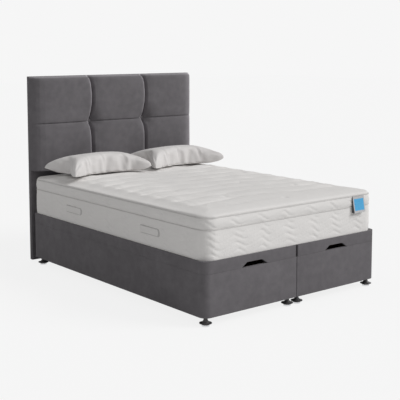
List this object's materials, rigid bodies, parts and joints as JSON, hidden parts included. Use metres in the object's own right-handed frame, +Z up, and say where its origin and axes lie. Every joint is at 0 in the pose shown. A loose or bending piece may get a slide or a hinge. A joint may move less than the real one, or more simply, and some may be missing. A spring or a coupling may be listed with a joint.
{
  "type": "ottoman divan bed",
  "caption": "King-size ottoman divan bed: upholstered half bases with lids that lift at the foot on gas struts, padded headboard, pillow-top mattress and pillows.",
  "frame": {"origin": "centre of the bed's footprint on the floor", "axes": "+Z up, +Y from the foot to the headboard, +X to the right of someone looking from the foot to the headboard"},
  "size_m": [1.5, 2.085, 1.402],
  "materials": {
    "upholstery": "dark grey soft plush",
    "board": "raw chipboard and ply",
    "timber": "planed pine",
    "dust_cloth": "black spun cloth",
    "black_steel": "black powder coat",
    "bright_steel": "bright plated",
    "zinc_steel": "zinc plated",
    "glide_plastic": "dark moulded plastic",
    "ticking": "pale quilted knit",
    "spring": "springs in cloth pockets",
    "foam": "soft foam and fillings",
    "label_cloth": "plain blue cloth tag, grey edge",
    "pillow_cotton": "white cotton"
  },
  "bodies": {
    "root": {"box_battens": "timber", "box_corner_posts": "timber", "box_floors": "board", "box_foot_panels": "board", "box_head_panels": "board", "box_hinge_plates": "black_steel", "dust_covers": "dust_cloth", "glide_bells": "glide_plastic", "glide_discs": "bright_steel", "headboard_board": "board", "headboard_bolts": "zinc_steel", "headboard_buttons": "upholstery", "headboard_cover": "upholstery", "headboard_feet": "glide_plastic", "headboard_frame": "timber", "headboard_pad_lower_left": "upholstery", "headboard_pad_lower_middle": "upholstery", "headboard_pad_lower_right": "upholstery", "headboard_pad_upper_left": "upholstery", "headboard_pad_upper_middle": "upholstery", "headboard_pad_upper_right": "upholstery", "headboard_spacers": "timber", "left_box_cover": "upholstery", "left_box_inner_panel": "board", "left_box_side_panel": "board", "linking_plates": "black_steel", "right_box_cover": "upholstery", "right_box_inner_panel": "board", "right_box_side_panel": "board"},
    "left_lid": {"left_lid_frame": "timber", "left_lid_foot_rail": "timber", "left_lid_slats": "timber", "left_lid_deck": "board", "left_lid_cover": "upholstery", "left_lid_hinge_plates": "black_steel", "mattress_border": "ticking", "mattress_spring_unit": "spring", "mattress_comfort_layer": "foam", "mattress_top_band": "ticking", "mattress_top_panel": "ticking", "mattress_piping": "ticking", "mattress_handles": "ticking", "mattress_label": "label_cloth", "left_pillow": "pillow_cotton", "right_pillow": "pillow_cotton"},
    "left_front_arms": {"left_front_lift_arms": "black_steel"},
    "left_rear_arms": {"left_rear_lift_arms": "black_steel"},
    "left_strut_cylinders": {"left_strut_cylinders": "black_steel"},
    "left_strut_rods": {"left_strut_rods": "bright_steel"},
    "right_lid": {"right_lid_frame": "timber", "right_lid_foot_rail": "timber", "right_lid_slats": "timber", "right_lid_deck": "board", "right_lid_cover": "upholstery", "right_lid_hinge_plates": "black_steel"},
    "right_front_arms": {"right_front_lift_arms": "black_steel"},
    "right_rear_arms": {"right_rear_lift_arms": "black_steel"},
    "right_strut_cylinders": {"right_strut_cylinders": "black_steel"},
    "right_strut_rods": {"right_strut_rods": "bright_steel"}
  },
  "joints": [
    {"name": "left_lid_pivot", "type": "hinge", "parent": "left_front_arms", "child": "left_lid", "pos_m": [0, 0.818, 0.355], "axis": [-1, 0, 0], "range_deg": [0, 80]},
    {"name": "left_front_arm_pivot", "type": "hinge", "parent": "root", "child": "left_front_arms", "pos_m": [0, 0.632, 0.139], "axis": [1, 0, 0], "range_deg": [0, 50]},
    {"name": "left_rear_arm_pivot", "type": "hinge", "parent": "root", "child": "left_rear_arms", "pos_m": [0, 0.482, 0.177], "axis": [1, 0, 0], "range_deg": [0, 49.61]},
    {"name": "left_strut_pivot", "type": "hinge", "parent": "root", "child": "left_strut_cylinders", "pos_m": [0, 0.7775, 0.1], "axis": [1, 0, 0], "range_deg": [0, 50.26]},
    {"name": "left_strut_slide", "type": "slide", "parent": "left_strut_cylinders", "child": "left_strut_rods", "axis": [0, 0.3694, 0.9293], "range_m": [0, 0.0608]},
    {"name": "right_lid_pivot", "type": "hinge", "parent": "right_front_arms", "child": "right_lid", "pos_m": [0, 0.818, 0.355], "axis": [-1, 0, 0], "range_deg": [0, 80]},
    {"name": "right_front_arm_pivot", "type": "hinge", "parent": "root", "child": "right_front_arms", "pos_m": [0, 0.632, 0.139], "axis": [1, 0, 0], "range_deg": [0, 50]},
    {"name": "right_rear_arm_pivot", "type": "hinge", "parent": "root", "child": "right_rear_arms", "pos_m": [0, 0.482, 0.177], "axis": [1, 0, 0], "range_deg": [0, 49.61]},
    {"name": "right_strut_pivot", "type": "hinge", "parent": "root", "child": "right_strut_cylinders", "pos_m": [0, 0.7775, 0.1], "axis": [1, 0, 0], "range_deg": [0, 50.26]},
    {"name": "right_strut_slide", "type": "slide", "parent": "right_strut_cylinders", "child": "right_strut_rods", "axis": [0, 0.3694, 0.9293], "range_m": [0, 0.0608]}
  ],
  "couplings": [
    {"joint": "left_front_arm_pivot", "follows": "left_lid_pivot", "ratio": 0.625},
    {"joint": "left_rear_arm_pivot", "follows": "left_lid_pivot", "ratio": 0.62},
    {"joint": "left_strut_pivot", "follows": "left_lid_pivot", "ratio": 0.62811},
    {"joint": "left_strut_slide", "follows": "left_lid_pivot", "m_per_rad": 0.043475},
    {"joint": "right_lid_pivot", "follows": "left_lid_pivot", "ratio": 1},
    {"joint": "right_front_arm_pivot", "follows": "left_lid_pivot", "ratio": 0.625},
    {"joint": "right_rear_arm_pivot", "follows": "left_lid_pivot", "ratio": 0.62},
    {"joint": "right_strut_pivot", "follows": "left_lid_pivot", "ratio": 0.62811},
    {"joint": "right_strut_slide", "follows": "left_lid_pivot", "m_per_rad": 0.043475}
  ]
}
